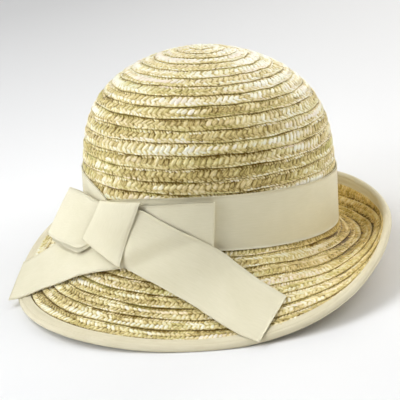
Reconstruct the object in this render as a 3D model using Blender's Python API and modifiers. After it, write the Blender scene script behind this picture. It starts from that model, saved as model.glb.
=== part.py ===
"""Straw cloche hat with an upturned back, a ribbon band and a flat ribbon bow.

Metres, +Z up. The bow is at the front of the hat, which faces -Y, and +X is the wearer's left.
The pieces are modelled with the headline's centre at the origin and the crown upright. An empty
then leans the hat back until it rests on the table as it would by itself.
"""

import math

import bmesh
import bpy
import numpy as np

MM = 0.001

# Crown
HEAD_LENGTH = 200 * MM  # outside of the straw at the headline, front to back
HEAD_WIDTH = 172 * MM  # the same, side to side
CROWN_HEIGHT = 132 * MM
CROWN_SHOULDER = 4.4  # how late the side turns in, as the power of the height
CROWN_ROUND = 1.65  # how full the dome is, as the power of the radius
CROWN_LEAN = 10.4 * MM  # the top stands this far in front of the headline's centre
STRAW_WALL = 2.0 * MM
BRAID_WIDTH = 8.9 * MM  # what shows of one braid row
BRAID_STEP = 0.7 * MM  # each row's lower edge stands out this far over the next row
ROW_RISE = 0.06  # share of a row's width in which its lower edge steps back in
CROWN_SEAM = 12 * MM  # the crown's straw ends this far above the headline, behind the band

# Brim. Lengths are shares of BRIM_LENGTH: how far the rim stands out from the headline, how far
# it stands above it, and the length of the arc between them.
BRIM_LENGTH = 80 * MM
BRIM_COLUMNS = ("turn", "reach", "rise", "arc")
BRIM_SECTIONS = (
    (0, 0.710, -0.684, 1.020),
    (45, 0.720, -0.645, 0.997),
    (90, 0.815, -0.175, 0.915),
    (135, 0.410, 0.262, 0.795),
    (180, 0.555, 0.140, 0.770),
)
BRIM_ROWS = 8
HEADLINE_TILT = 3.5 * MM  # the headline is this much higher at the front, and lower at the back

# Ribbon, band and rim binding
RIBBON_WIDTH = 43 * MM
RIBBON_THICK = 1.0 * MM
BAND_FOOT = 0.8 * MM  # the band's lower edge stands this far above the brim
BINDING_WIDTH = 9.5 * MM
BINDING_ROUND = (80, 40, 0, -40, -80)  # degrees round the binding's outer edge, in section
BINDING_BULGE = 0.75  # how far that edge bulges, as a share of half the binding's thickness
BAND_DIP = 13 * MM  # the knot gathers the band's top edge down this far
BAND_DIP_REACH = {"left": 9.0, "right": 26.0}  # degrees in which the dip dies away
FLATTENED = 1.0 * MM  # the binding is pressed flat by this much where it rests
MOST_LEAN = math.radians(30)

GAP = 0.3 * MM
BINDING_GAP = 0.45 * MM
RIM_PRESSED = 0.3 * MM  # the straw is pressed thinner by this much each side, in the binding
KNOT_GAP = 0.8 * MM  # its straight-edged back spans the crown's round side
CROWN_SIDES = 40
RIM_SIDES = 64

# Bow. Turns are degrees round the crown from the front, towards the wearer's left. Lengths are
# shares of RIBBON_WIDTH. Up and out are measured from the headline. Run is the distance over
# the hat's surface, up the crown or, below zero, out along the brim, and lift stands off it.
KNOT_THICK = 0.2 * RIBBON_WIDTH
KNOT_SIDE = (0.08, 0.36, 0.64, 0.92)  # where the outline's points lie between two corners
# Each layer of the knot: how far it spreads to the outline, and its share of the thickness.
KNOT_LAYERS = (
    (0.2, 0.0),
    (0.6, 0.0),
    (0.9, 0.0),
    (0.98, 0.35),
    (0.97, 0.75),
    (0.84, 1.0),
    (0.5, 1.1),
    (0.15, 1.15),
)
KNOT_COLUMNS = ("turn", "up")
KNOT_CORNERS = (
    (-1.0, 0.68),
    (18.2, 0.77),
    (9.0, -0.31),
    (-17.5, -0.12),
    (-15.5, 0.09),
)
LOOP_COLUMNS = ("turn_top", "up_top", "out_top", "turn_low", "up_low", "out_low", "gap")
LEFT_LOOP = (
    (-3.5, 0.68, 0.14, -19.5, -0.10, 0.24, 0.025),
    (-12.0, 0.71, 0.15, -24.0, -0.28, 0.35, 0.035),
    (-19.5, 0.72, 0.18, -29.0, -0.35, 0.47, 0.045),
    (-26.8, 0.67, 0.26, -36.6, -0.31, 0.68, 0.055),
)
RIGHT_LOOP = (
    (19.6, 0.76, 0.110, 14.6, 0.00, 0.115, 0.022),
    (28.0, 0.81, 0.112, 25.0, -0.02, 0.122, 0.028),
    (38.0, 0.86, 0.112, 36.0, -0.04, 0.126, 0.030),
    (47.6, 0.88, 0.112, 45.8, -0.05, 0.130, 0.030),
)
TAIL_COLUMNS = ("turn_top", "run_top", "lift_top", "turn_low", "run_low", "lift_low")
LEFT_TAIL = (
    (-19.0, -0.19, 0.12, 7.6, -0.50, 0.100),
    (-24.0, -0.32, 0.14, 0.6, -0.63, 0.100),
    (-29.5, -0.48, 0.20, -7.5, -0.83, 0.090),
    (-34.0, -0.65, 0.30, -14.2, -1.05, 0.075),
    (-37.6, -1.06, 0.34, -21.8, -1.41, 0.070),
    (-39.2, -1.41, 0.33, -24.5, -1.82, 0.065),
    (-39.6, -1.60, 0.33, -26.0, -2.05, 0.060),
)
RIGHT_TAIL = (
    (19.5, 0.68, 0.205, 11.2, -0.44, 0.080),
    (27.0, 0.53, 0.205, 17.0, -0.50, 0.075),
    (34.5, 0.38, 0.205, 24.0, -0.59, 0.070),
    (42.5, 0.22, 0.205, 33.0, -0.78, 0.065),
    (50.1, 0.04, 0.190, 40.5, -0.99, 0.065),
    (56.5, -0.33, 0.150, 46.5, -1.25, 0.065),
    (63.5, -0.69, 0.100, 53.0, -1.62, 0.065),
    (69.8, -1.12, 0.070, 59.0, -1.86, 0.065),
)
LOOP_FOLD = (60, 20, -20, -60)  # degrees round a loop's outer fold, from its front
RIBBON_STEPS = 2  # faces between two rows of a ribbon's table
RIBBON_COLUMNS = 3  # faces across a ribbon

STRAW_COLOUR = (0.80, 0.68, 0.42)
RIBBON_COLOUR = (0.87, 0.83, 0.72)


def clear_scene():
    for obj in list(bpy.data.objects):
        bpy.data.objects.remove(obj, do_unlink=True)


def matte(name, colour, roughness):
    material = bpy.data.materials.new(name)
    material.use_nodes = True
    surface = material.node_tree.nodes["Principled BSDF"]
    surface.inputs["Base Color"].default_value = (*colour, 1.0)
    surface.inputs["Roughness"].default_value = roughness
    surface.inputs["Metallic"].default_value = 0.0
    return material


def add_piece(name, points, faces, material):
    """A named object of the hat's collection, parented to its resting empty."""
    mesh = bpy.data.meshes.new(name)
    mesh.from_pydata([tuple(point) for point in points], [], faces)
    shape = bmesh.new()
    shape.from_mesh(mesh)
    bmesh.ops.recalc_face_normals(shape, faces=shape.faces)
    shape.to_mesh(mesh)
    shape.free()
    mesh.materials.append(material)
    piece = bpy.data.objects.new(name, mesh)
    bpy.data.collections["straw_cloche_hat"].objects.link(piece)
    piece.parent = bpy.data.objects["hat_rest"]
    return piece


def turns(sides):
    return np.linspace(0.0, 2 * math.pi, sides, endpoint=False)


def brim_column(name, turn):
    """A column of BRIM_SECTIONS at any turn, as the cosine series through its five rows."""
    stations = np.radians([row[0] for row in BRIM_SECTIONS])
    values = [row[BRIM_COLUMNS.index(name)] for row in BRIM_SECTIONS]
    orders = np.arange(len(stations))
    weights = np.linalg.solve(np.cos(np.outer(stations, orders)), values)
    return BRIM_LENGTH * np.cos(np.multiply.outer(turn, orders)) @ weights


def head_radius(turn):
    long, wide = HEAD_LENGTH / 2, HEAD_WIDTH / 2
    return long * wide / np.hypot(wide * np.cos(turn), long * np.sin(turn))


def headline(turn):
    return HEADLINE_TILT * np.cos(turn)


def from_axis(turn, radius, height):
    """Points at these radii from the crown's axis, which leans forward above the headline."""
    lean = CROWN_LEAN * np.clip(height / CROWN_HEIGHT, 0.0, None)
    x = np.sin(turn) * radius
    y = -np.cos(turn) * radius - lean
    return np.stack([x, y, height + 0.0 * radius], axis=-1)


def crown_share(height):
    """The crown's radius at a height, as a share of its radius at the headline."""
    up = np.clip(height / CROWN_HEIGHT, 0.0, 1.0)
    return (1.0 - up**CROWN_SHOULDER) ** (1.0 / CROWN_ROUND)


def on_crown(turn, height, out):
    return from_axis(turn, head_radius(turn) * crown_share(height) + out, height)


def brim_arc(turn, along, out):
    """Distance out from the headline and up from it, at a distance along the brim's arc."""
    reach, rise = brim_column("reach", turn), brim_column("rise", turn)
    arc = brim_column("arc", turn)
    chord = np.minimum(np.hypot(reach, rise) / arc, 0.9999)
    bend = np.sqrt(6.0 * (1.0 - chord))
    for _ in range(20):
        bend = bend - (np.sin(bend) - chord * bend) / (np.cos(bend) - chord)
    start = np.arctan2(rise, reach) - bend
    heading = start + 2 * bend * along / arc
    radius = arc / (2 * bend)
    away = radius * (np.sin(heading) - np.sin(start)) - out * np.sin(heading)
    up = radius * (np.cos(start) - np.cos(heading)) + out * np.cos(heading)
    return away, up


def on_brim(turn, along, out):
    away, up = brim_arc(turn, along, out)
    return from_axis(turn, head_radius(turn) + away, up) + raised(turn)


def raised(turn):
    """The headline's own height, as an offset of points measured from it."""
    zero = 0.0 * turn
    return np.stack([zero, zero, headline(turn)], axis=-1)


def over_hat(turn, run, lift):
    """A point on the hat's surface: up the crown from the headline, or out along the brim."""
    up_crown = on_crown(turn, np.maximum(run, 0.0) + headline(turn), lift)
    out_brim = on_brim(turn, np.maximum(-run, 0.0), lift)
    return np.where((run >= 0.0)[..., None], up_crown, out_brim)


def loft(name, rings, material, closed):
    """A solid through rings of points. Closed joins its last ring to its first one, and
    otherwise a flat face ends it at both."""
    sides = len(rings[0])
    faces = []
    for ring in range(len(rings) if closed else len(rings) - 1):
        low, high = ring * sides, (ring + 1) % len(rings) * sides
        for side in range(sides):
            after = (side + 1) % sides
            faces.append((low + side, low + after, high + after, high + side))
    if not closed:
        last = (len(rings) - 1) * sides
        faces.append(tuple(reversed(range(sides))))
        faces.append(tuple(last + side for side in range(sides)))
    return add_piece(name, np.concatenate(rings), faces, material)


def crown_rows():
    """Heights of the braid rows' lower edges, one braid width apart along the crown's side."""
    angle = np.linspace(0.0, math.pi / 2, 400)
    height = CROWN_HEIGHT * np.sin(angle)
    radius = (HEAD_LENGTH + HEAD_WIDTH) / 4 * crown_share(height)
    steps = np.hypot(np.diff(radius), np.diff(height))
    along = np.concatenate([[0.0], np.cumsum(steps)])
    first = np.interp(CROWN_SEAM, height, along)
    count = int((along[-1] - first) // BRAID_WIDTH)
    return np.interp(first + BRAID_WIDTH * np.arange(count + 1), along, height)


def crown_ring(height, out):
    """A ring of the crown, offset square to its surface rather than level."""
    turn = turns(CROWN_SIDES)
    nudge = 0.5 * MM
    high, low = min(height + nudge, CROWN_HEIGHT), height - nudge
    inward = (HEAD_LENGTH + HEAD_WIDTH) / 4 * float(crown_share(low) - crown_share(high))
    slope = math.atan2(inward, high - low)
    return on_crown(turn, height, out * math.cos(slope)) + [0, 0, out * math.sin(slope)]


def make_crown(straw):
    """A dome of overlapping rows outside, and plain inside."""
    rows = crown_rows()
    step_up = ROW_RISE * BRAID_WIDTH
    outside = [crown_ring(rows[0], BRAID_STEP)]
    for height in rows[1:]:
        outside.append(crown_ring(height - step_up, 0.0))
        outside.append(crown_ring(height, BRAID_STEP))
    inside = [crown_ring(height, -STRAW_WALL) for height in rows[::3]]
    return loft("crown", inside[::-1] + outside, straw, closed=False)


def make_brim(straw):
    """A collar behind the band, then rows out to the rim, with a plain underside."""
    turn = turns(RIM_SIDES)
    arc = brim_column("arc", turn)
    bound = arc - BINDING_WIDTH - GAP
    collar_top = CROWN_SEAM - GAP
    upper = [on_crown(turn, collar_top, 0.0), on_brim(turn, 0.0 * turn, 0.0)]
    for row in range(BRIM_ROWS):
        upper.append(on_brim(turn, bound * (row + 1 - ROW_RISE) / BRIM_ROWS, BRAID_STEP))
        upper.append(on_brim(turn, bound * (row + 1) / BRIM_ROWS, 0.0))
    rim = arc - RIBBON_THICK - BINDING_GAP
    pressed = ((bound + rim) / 2, rim)
    upper += [on_brim(turn, place, -RIM_PRESSED) for place in pressed]
    under = [on_brim(turn, place, RIM_PRESSED - STRAW_WALL) for place in pressed[::-1]]
    for share in np.linspace(1.0, 0.0, BRIM_ROWS // 2 + 1):
        under.append(on_brim(turn, bound * share, -STRAW_WALL))
    under.append(on_crown(turn, collar_top, -STRAW_WALL))
    return loft("brim", upper + under, straw, closed=True)


def band_top(turn):
    """Height of the band's top edge over the headline: full width, gathered at the knot."""
    degrees = np.degrees((turn + math.pi) % (2 * math.pi) - math.pi)
    reach = np.where(degrees < 0, BAND_DIP_REACH["left"], BAND_DIP_REACH["right"])
    return RIBBON_WIDTH - BAND_DIP * np.exp(-np.abs(degrees) / reach)


def make_band(ribbon):
    """A ring of ribbon round the foot of the crown."""
    turn = turns(RIM_SIDES)
    near = BRAID_STEP + GAP
    inside = []
    outside = []
    for share in np.linspace(0.0, 1.0, 4):
        height = headline(turn) + BAND_FOOT + (band_top(turn) - BAND_FOOT) * share
        inside.append(on_crown(turn, height, near))
        outside.append(on_crown(turn, height, near + RIBBON_THICK))
    return loft("hat_band", outside + inside[::-1], ribbon, closed=True)


def make_binding(ribbon):
    """A ribbon folded over the rim, round in section at its edge."""
    turn = turns(RIM_SIDES)
    arc = brim_column("arc", turn)
    inner_edge, turned = arc - BINDING_WIDTH, arc - RIBBON_THICK
    half_way = (inner_edge + turned) / 2
    above, below = BINDING_GAP, -STRAW_WALL - BINDING_GAP
    over, under = above + RIBBON_THICK, below - RIBBON_THICK
    half = (over - under) / 2
    middle = (over + under) / 2
    rings = [on_brim(turn, inner_edge, above), on_brim(turn, inner_edge, over)]
    for angle in np.radians(BINDING_ROUND):
        out = middle + half * math.sin(angle)
        along = turned - half / 2 + half * BINDING_BULGE * math.cos(angle)
        rings.append(on_brim(turn, along, out))
    rings += [on_brim(turn, inner_edge, under), on_brim(turn, inner_edge, below)]
    rings += [on_brim(turn, place, below) for place in (half_way, turned)]
    rings += [on_brim(turn, place, above) for place in (turned, half_way)]
    return loft("rim_binding", rings, ribbon, closed=True)


def support_out(turn, up):
    """How far out the band or the brim reaches at this height over the headline."""
    band = BRAID_STEP + GAP + RIBBON_THICK
    along = np.linspace(0.0, BRIM_LENGTH / 2, 60)
    away, height = brim_arc(np.full(len(along), turn), along, BRAID_STEP)
    falling = height[: int(height.argmin()) + 1]
    return max(band, float(np.interp(-up, -falling, away[: len(falling)])))


def make_knot(ribbon):
    """The wound middle of the bow: a soft block with a slanting outline."""
    turn_column, up_column = (KNOT_COLUMNS.index(name) for name in ("turn", "up"))
    corners = np.array(KNOT_CORNERS)
    corners[:, turn_column] = np.radians(corners[:, turn_column])
    corners[:, up_column] *= RIBBON_WIDTH
    outline = []
    for corner, after in zip(corners, np.roll(corners, -1, axis=0)):
        outline += [corner + (after - corner) * share for share in KNOT_SIDE]
    outline = np.array(outline)
    centre = outline.mean(axis=0)
    rings = []
    for spread, thick in KNOT_LAYERS:
        ring = []
        for point in centre + (outline - centre) * spread:
            turn, up = point[turn_column], point[up_column]
            out = support_out(turn, up) + KNOT_GAP + thick * KNOT_THICK
            ring.append(beside_crown(turn, up, out))
        rings.append(np.array(ring))
    return loft("bow_knot", rings, ribbon, closed=False)


def beside_crown(turn, up, out):
    """A point given by its height over the headline and its distance out from it."""
    return from_axis(turn, head_radius(turn) + out, up + headline(turn))


def smoothed(rows):
    """A smooth curve through these rows, each a point or a set of numbers."""
    rows = np.asarray(rows, float)
    ends = np.concatenate([2 * rows[:1] - rows[1:2], rows, 2 * rows[-1:] - rows[-2:-1]])
    places = np.linspace(0, len(rows) - 1, (len(rows) - 1) * RIBBON_STEPS + 1)
    row = np.minimum(places.astype(int), len(rows) - 2)
    t = (places - row)[:, None]
    before, a, b, after = (ends[row + k] for k in range(4))
    curve = a + 0.5 * t * (b - before)
    curve += 0.5 * t**2 * (2 * before - 5 * a + 4 * b - after)
    curve += 0.5 * t**3 * (3 * a - before - 3 * b + after)
    return curve


def ribbon_piece(name, sheet, material):
    """A ribbon from a sheet of points, rows along it and columns across it, with thickness."""
    rows, columns = sheet.shape[:2]
    faces = []
    for row in range(rows - 1):
        for column in range(columns - 1):
            low, high = row * columns + column, (row + 1) * columns + column
            faces.append((low, low + 1, high + 1, high))
    piece = add_piece(name, sheet.reshape(-1, 3), faces, material)
    cloth = piece.modifiers.new("cloth", "SOLIDIFY")
    cloth.thickness = RIBBON_THICK
    cloth.offset = 0.0
    return piece


def ruled(low, top):
    """A ruled sheet between a ribbon's low edge and its top edge."""
    shares = np.linspace(0.0, 1.0, RIBBON_COLUMNS + 1)[None, :, None]
    return low[:, None] * (1.0 - shares) + top[:, None] * shares


def ribbon_edges(table, columns, place):
    """The low and the top edge of a ribbon: smooth curves through its table's points."""
    column = dict(zip(columns, np.array(table, float).T))
    edges = []
    for edge in ("_low", "_top"):
        turn, height, off = (column[name] for name in columns if name.endswith(edge))
        points = place(np.radians(turn), height * RIBBON_WIDTH, off * RIBBON_WIDTH)
        edges.append(smoothed(points))
    return edges


def make_tail(name, table, ribbon):
    return ribbon_piece(name, ruled(*ribbon_edges(table, TAIL_COLUMNS, over_hat)), ribbon)


def make_loop(name, table, ribbon):
    """A flattened loop: out along its front, round a narrow fold, and back behind."""
    middle = ruled(*ribbon_edges(table, LOOP_COLUMNS, beside_crown))
    along = np.gradient(middle, axis=0)
    along /= np.linalg.norm(along, axis=2, keepdims=True)
    facing = np.cross(along, (middle[:, -1] - middle[:, 0])[:, None])
    facing /= np.linalg.norm(facing, axis=2, keepdims=True)
    outward = np.sign((facing * middle * [1, 1, 0]).sum(axis=2, keepdims=True))
    facing *= outward
    gaps = [row[LOOP_COLUMNS.index("gap")] * RIBBON_WIDTH for row in table]
    half_gap = smoothed(np.array(gaps)[:, None])[:, :, None]
    fold = []
    for angle in np.radians(LOOP_FOLD):
        round_fold = facing[-1] * math.sin(angle) + along[-1] * math.cos(angle)
        fold.append(middle[-1] + half_gap[-1] * round_fold)
    front = middle + facing * half_gap
    back = middle - facing * half_gap
    sheet = np.concatenate([front, np.array(fold), back[::-1]])
    return ribbon_piece(name, sheet, ribbon)


def points_of(piece):
    return np.array([vertex.co[:] for vertex in piece.data.vertices])


def heights(points, lean):
    """Heights of these points with the hat leaned back by this angle."""
    return points[:, 2] * math.cos(lean) - points[:, 1] * math.sin(lean)


def rest_on_table(brim, binding):
    """Leans the hat back until the front of its rim and the curl of its back both touch."""
    front = points_of(binding)
    front = front[front[:, 1] < 0]
    back = np.concatenate([points_of(brim), points_of(binding)])
    back = back[back[:, 1] > 0]
    low, high = 0.0, MOST_LEAN
    for _ in range(40):
        lean = (low + high) / 2
        if heights(front, lean).min() + FLATTENED < heights(back, lean).min():
            low = lean
        else:
            high = lean
    rest = bpy.data.objects["hat_rest"]
    rest.rotation_euler = (-lean, 0.0, 0.0)
    rest.location.z = -heights(back, lean).min()
    bpy.context.view_layer.update()
    place = rest.matrix_world
    for vertex in binding.data.vertices:
        world = place @ vertex.co
        world.z = max(world.z, 0.0)
        vertex.co = place.inverted() @ world


def centre_footprint(pieces):
    """Moves the hat so that the middle of its footprint is at the origin."""
    graph = bpy.context.evaluated_depsgraph_get()
    corners = []
    for piece in pieces:
        shown = piece.evaluated_get(graph)
        mesh = shown.to_mesh()
        corners += [(shown.matrix_world @ vertex.co)[:] for vertex in mesh.vertices]
        shown.to_mesh_clear()
    corners = np.array(corners)
    middle = (corners.min(axis=0) + corners.max(axis=0)) / 2
    rest = bpy.data.objects["hat_rest"]
    rest.location.x -= middle[0]
    rest.location.y -= middle[1]
    bpy.context.view_layer.update()


def make_hat():
    clear_scene()
    collection = bpy.data.collections.new("straw_cloche_hat")
    bpy.context.scene.collection.children.link(collection)
    collection.objects.link(bpy.data.objects.new("hat_rest", None))
    straw = matte("straw", STRAW_COLOUR, 0.65)
    ribbon = matte("ribbon", RIBBON_COLOUR, 0.9)
    brim = make_brim(straw)
    binding = make_binding(ribbon)
    rest_on_table(brim, binding)
    pieces = [
        make_crown(straw),
        brim,
        make_band(ribbon),
        binding,
        make_knot(ribbon),
        make_loop("bow_loop_left", LEFT_LOOP, ribbon),
        make_loop("bow_loop_right", RIGHT_LOOP, ribbon),
        make_tail("bow_tail_left", LEFT_TAIL, ribbon),
        make_tail("bow_tail_right", RIGHT_TAIL, ribbon),
    ]
    bpy.context.view_layer.update()
    centre_footprint(pieces)


make_hat()
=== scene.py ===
"""Looks of the straw cloche hat: plaited straw rows, ribbon, light and camera round the frame.

Shapes are worked out in millimetres with the crown upright and the headline's centre at the
origin, as in the CAD source. to_world then leans the hat back onto the table, in metres.
A turn is an angle round the crown, 0 in front and growing towards the wearer's left.
"""

import math

import bpy
import numpy as np
from mathutils import Matrix, Vector


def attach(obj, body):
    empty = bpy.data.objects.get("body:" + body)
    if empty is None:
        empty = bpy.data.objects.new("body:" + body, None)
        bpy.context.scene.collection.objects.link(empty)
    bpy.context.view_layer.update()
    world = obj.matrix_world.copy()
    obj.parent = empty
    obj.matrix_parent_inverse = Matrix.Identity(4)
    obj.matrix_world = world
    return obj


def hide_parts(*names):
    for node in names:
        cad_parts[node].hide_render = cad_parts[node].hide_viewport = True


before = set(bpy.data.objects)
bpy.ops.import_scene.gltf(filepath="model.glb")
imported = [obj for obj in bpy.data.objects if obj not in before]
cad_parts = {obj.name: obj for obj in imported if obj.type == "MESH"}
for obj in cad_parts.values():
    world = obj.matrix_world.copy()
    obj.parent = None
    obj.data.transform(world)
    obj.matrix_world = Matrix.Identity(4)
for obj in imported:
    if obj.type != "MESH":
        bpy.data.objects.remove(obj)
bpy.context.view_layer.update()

# The hat's sizes, as in the CAD source, in millimetres
HEAD_LENGTH, HEAD_WIDTH = 200.0, 172.0
MEAN_RADIUS = (HEAD_LENGTH + HEAD_WIDTH) / 4
CROWN_HEIGHT = 132.0
CROWN_SHOULDER = 4.4  # how late the side turns in, as the power of the height
CROWN_ROUND = 1.65  # how full the dome is, as the power of the radius
CROWN_LEAN = 10.4  # the top stands this far in front of the headline's centre
HEADLINE_TILT = 3.5  # the headline is this much higher at the front, and lower at the back
RIBBON_WIDTH = 43.0
BINDING_WIDTH = 9.5
WALL = 2.0

# The brim at these turns in degrees, as shares of its length: how far the rim stands out from
# the headline, how far above it, and how long the arc between them is.
BRIM_LENGTH = 80.0
BRIM_TURNS = (0, 45, 90, 135, 180)
BRIM_REACH = (0.710, 0.720, 0.815, 0.410, 0.555)
BRIM_RISE = (-0.684, -0.645, -0.175, 0.262, 0.140)
BRIM_ARC = (1.020, 0.997, 0.915, 0.795, 0.770)
# The curl's corners lie up to 7 mm from their place in the CAD source, nearer to the photo.
# These millimetres are added to the reach, rise and arc round each turn, and fade out over
# CURL_WIDTH. Turns and widths are in degrees.
CURL_TURNS = (105.0, 127.5, 150.0, 172.5)
CURL_REACH = (0.8, 4.5, -0.9, -1.5)
CURL_RISE = (2.3, -3.1, -4.9, 1.5)
CURL_ARC = (-0.7, -3.8, -4.3, 0.6)
CURL_WIDTH = 36.0

# How the hat leans back on the table, and where its headline's centre is then
REST_LEAN = math.radians(-8.42)
REST_AT = (0.0, 7.94, 35.01)
# Heights in metres before and after the table presses what rests on it flat
PRESSED_FROM = (-0.0012, 0.0006, 1.0)
PRESSED_TO = (0.00002, 0.0006, 1.0)

# Plaited rows
ROW = 9.0
SPIRAL_TURN, SPIRAL_RUN = math.radians(47), 35.0  # the crown's spiral edge passes here
SPIRAL_STEPS = 9000
BRIM_ROW, BRIM_FIRST, BRIM_ROWS = 9.4, 5.0, 9  # width, first edge from the headline, count
ROWS_START = -1.5  # the brim's first row starts this far inside the headline
UNDER_BINDING = 1.5  # its last row ends this far under the binding's edge
STEP = 0.85  # how far a row's edge stands over the next row
SWELL, TUCK = 0.35, 0.25  # how far its middle swells, and how steeply its upper side tucks in
# Sewing makes rows uneven: size in millimetres, waves round the hat, waves down it, phase.
UNEVEN = ((0.35, 5, 0.55, 0.0), (0.28, 13, -0.4, 1.0))

CROWN_STEPS = 4000  # places in the crown's table of distances
MOST_CHORD = 0.9999  # share of the brim's arc, so that it always bends a little
ARC_STEPS = 20  # rounds of Newton's method that find its bend

rng = np.random.default_rng(11)


def all_round(count):
    """Even turns round the hat."""
    return np.linspace(0, 2 * math.pi, count, endpoint=False)


def signed_degrees(turn):
    """A turn in degrees, from -180 to 180."""
    return np.degrees((turn + math.pi) % (2 * math.pi) - math.pi)


def to_world(points):
    """From millimetres with the crown upright to metres with the hat at rest."""
    c, s = math.cos(REST_LEAN), math.sin(REST_LEAN)
    turned = points @ np.array([[1, 0, 0], [0, c, s], [0, -s, c]])
    return (turned + REST_AT) / 1000.0


def from_axis(turn, radius, height):
    """A point by its distance from the crown's axis, which leans forward above the headline."""
    lean = CROWN_LEAN * np.clip(height / CROWN_HEIGHT, 0.0, None)
    return np.stack([np.sin(turn) * radius, -np.cos(turn) * radius - lean, height], axis=-1)


def head_radius(turn):
    """The headline's distance from the crown's axis. The headline is an oval."""
    long, wide = HEAD_LENGTH / 2, HEAD_WIDTH / 2
    return long * wide / np.hypot(wide * np.cos(turn), long * np.sin(turn))


def headline(turn):
    """The headline's height."""
    return HEADLINE_TILT * np.cos(turn)


def dome_share(up):
    """The crown's radius at a share of its height, as a share of the headline's."""
    return (1.0 - up**CROWN_SHOULDER) ** (1.0 / CROWN_ROUND)


def crown_table():
    """Down the crown from its top: distance, share of the headline's radius, height, heading."""
    angle = np.linspace(math.pi / 2, 0.0, CROWN_STEPS)
    height = CROWN_HEIGHT * np.sin(angle)
    share = dome_share(height / CROWN_HEIGHT)
    out, down = np.gradient(share * MEAN_RADIUS), np.gradient(height)
    step = np.hypot(out, down)
    run = np.concatenate([[0.0], np.cumsum((step[1:] + step[:-1]) / 2)])
    return run, share, height, out / step, down / step


RUN, SHARE, HEIGHT, HEAD_OUT, HEAD_DOWN = crown_table()


def crown_radius(turn, run):
    """The crown's distance from its axis, at a distance down from its top."""
    return head_radius(turn) * np.interp(run, RUN, SHARE)


def on_crown(turn, run, out):
    """A point at a distance from the crown's top, offset square to the crown."""
    run = np.clip(run, 0.0, RUN[-1])
    radius = crown_radius(turn, run) - np.interp(run, RUN, HEAD_DOWN) * out
    height = np.interp(run, RUN, HEIGHT) + np.interp(run, RUN, HEAD_OUT) * out
    return from_axis(turn, radius, height)


def beside_crown(turn, height, out):
    """A point by its height over the crown's base and its level distance out from the crown."""
    share = dome_share(np.clip(height / CROWN_HEIGHT, 0.0, 1.0))
    return from_axis(turn, head_radius(turn) * share + out, height)


def curl(added, turn):
    """The millimetres added round the curl's turns, the same on both sides of the hat."""
    degrees = np.abs(signed_degrees(turn))
    total = 0.0
    for station, value in zip(CURL_TURNS, added):
        for away in (degrees - station, 360 - degrees - station):
            near = np.clip(np.abs(away) / CURL_WIDTH, 0.0, 1.0)
            total = total + value * np.cos(math.pi / 2 * near) ** 2
    return total


def brim_column(shares, added, turn):
    """One of the brim's lengths: cosines through its shares at BRIM_TURNS, and the curl's part."""
    orders = np.arange(len(BRIM_TURNS))
    weights = np.linalg.solve(np.cos(np.outer(np.radians(BRIM_TURNS), orders)), shares)
    return BRIM_LENGTH * np.cos(np.multiply.outer(turn, orders)) @ weights + curl(added, turn)


def rim(turn):
    """The distance from the headline to the rim, along the brim."""
    return brim_column(BRIM_ARC, CURL_ARC, turn)


def brim_arc(turn, along, out):
    """How far out and up from the headline a place on the brim is. The brim's section is an arc
    of rim's length between the headline and a point at its reach and rise."""
    reach = brim_column(BRIM_REACH, CURL_REACH, turn)
    rise = brim_column(BRIM_RISE, CURL_RISE, turn)
    arc = rim(turn)
    chord = np.minimum(np.hypot(reach, rise) / arc, MOST_CHORD)
    bend = np.sqrt(6.0 * (1.0 - chord))
    for _ in range(ARC_STEPS):
        bend = bend - (np.sin(bend) - chord * bend) / (np.cos(bend) - chord)
    start = np.arctan2(rise, reach) - bend
    heading = start + 2 * bend * along / arc
    radius = arc / (2 * bend)
    away = radius * (np.sin(heading) - np.sin(start)) - out * np.sin(heading)
    up = radius * (np.cos(start) - np.cos(heading)) + out * np.cos(heading)
    return away, up


def on_brim(turn, along, out):
    """A point at a distance from the headline along the brim, offset square to the brim."""
    away, up = brim_arc(turn, along, out)
    points = from_axis(turn, head_radius(turn) + away, up)
    points[..., 2] += headline(turn)
    return points


def level_place(turn, up, out):
    """A point by its height over the headline and its level distance out from the crown."""
    return beside_crown(turn, up + headline(turn), out)


def over_hat(turn, run, lift):
    """A point by its height up the crown or, below zero, its distance out along the brim."""
    up_crown = level_place(turn, np.maximum(run, 0.0), lift)
    out_brim = on_brim(turn, np.maximum(-run, 0.0), lift)
    return np.where((run >= 0.0)[..., None], up_crown, out_brim)


# Mesh building


def add_piece(name, points, faces, material, values=None, vectors=None):
    """An object of four-sided faces that rides the hat, with numbers and vectors at its points."""
    mesh = bpy.data.meshes.new(name)
    points = to_world(points.reshape(-1, 3))
    points[:, 2] = np.interp(points[:, 2], PRESSED_FROM, PRESSED_TO)
    mesh.vertices.add(len(points))
    mesh.vertices.foreach_set("co", points.astype(np.float32).ravel())
    mesh.loops.add(faces.size)
    mesh.loops.foreach_set("vertex_index", faces.astype(np.int32).ravel())
    mesh.polygons.add(len(faces))
    mesh.polygons.foreach_set("loop_start", np.arange(0, faces.size, 4, dtype=np.int32))
    mesh.update(calc_edges=True)
    for key, value in (values or {}).items():
        layer = mesh.attributes.new(key, "FLOAT", "POINT")
        layer.data.foreach_set("value", value.astype(np.float32).ravel())
    for key, value in (vectors or {}).items():
        layer = mesh.attributes.new(key, "FLOAT_VECTOR", "POINT")
        layer.data.foreach_set("vector", value.astype(np.float32).ravel())
    mesh.validate()
    mesh.shade_smooth()
    mesh.materials.append(material)
    piece = bpy.data.objects.new(name, mesh)
    bpy.context.scene.collection.objects.link(piece)
    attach(piece, "root")
    return piece


def grid_faces(rows, columns, close_rows=False, close_columns=False):
    """Four-sided faces over a grid of points, whose rows or columns may close into a ring."""
    r = np.arange(rows if close_rows else rows - 1)[:, None]
    c = np.arange(columns if close_columns else columns - 1)[None, :]
    r2, c2 = (r + 1) % rows, (c + 1) % columns
    corners = (r * columns + c, r * columns + c2, r2 * columns + c2, r2 * columns + c)
    return np.stack([np.broadcast_to(k, (r.size, c.size)) for k in corners], -1).reshape(-1, 4)


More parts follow.
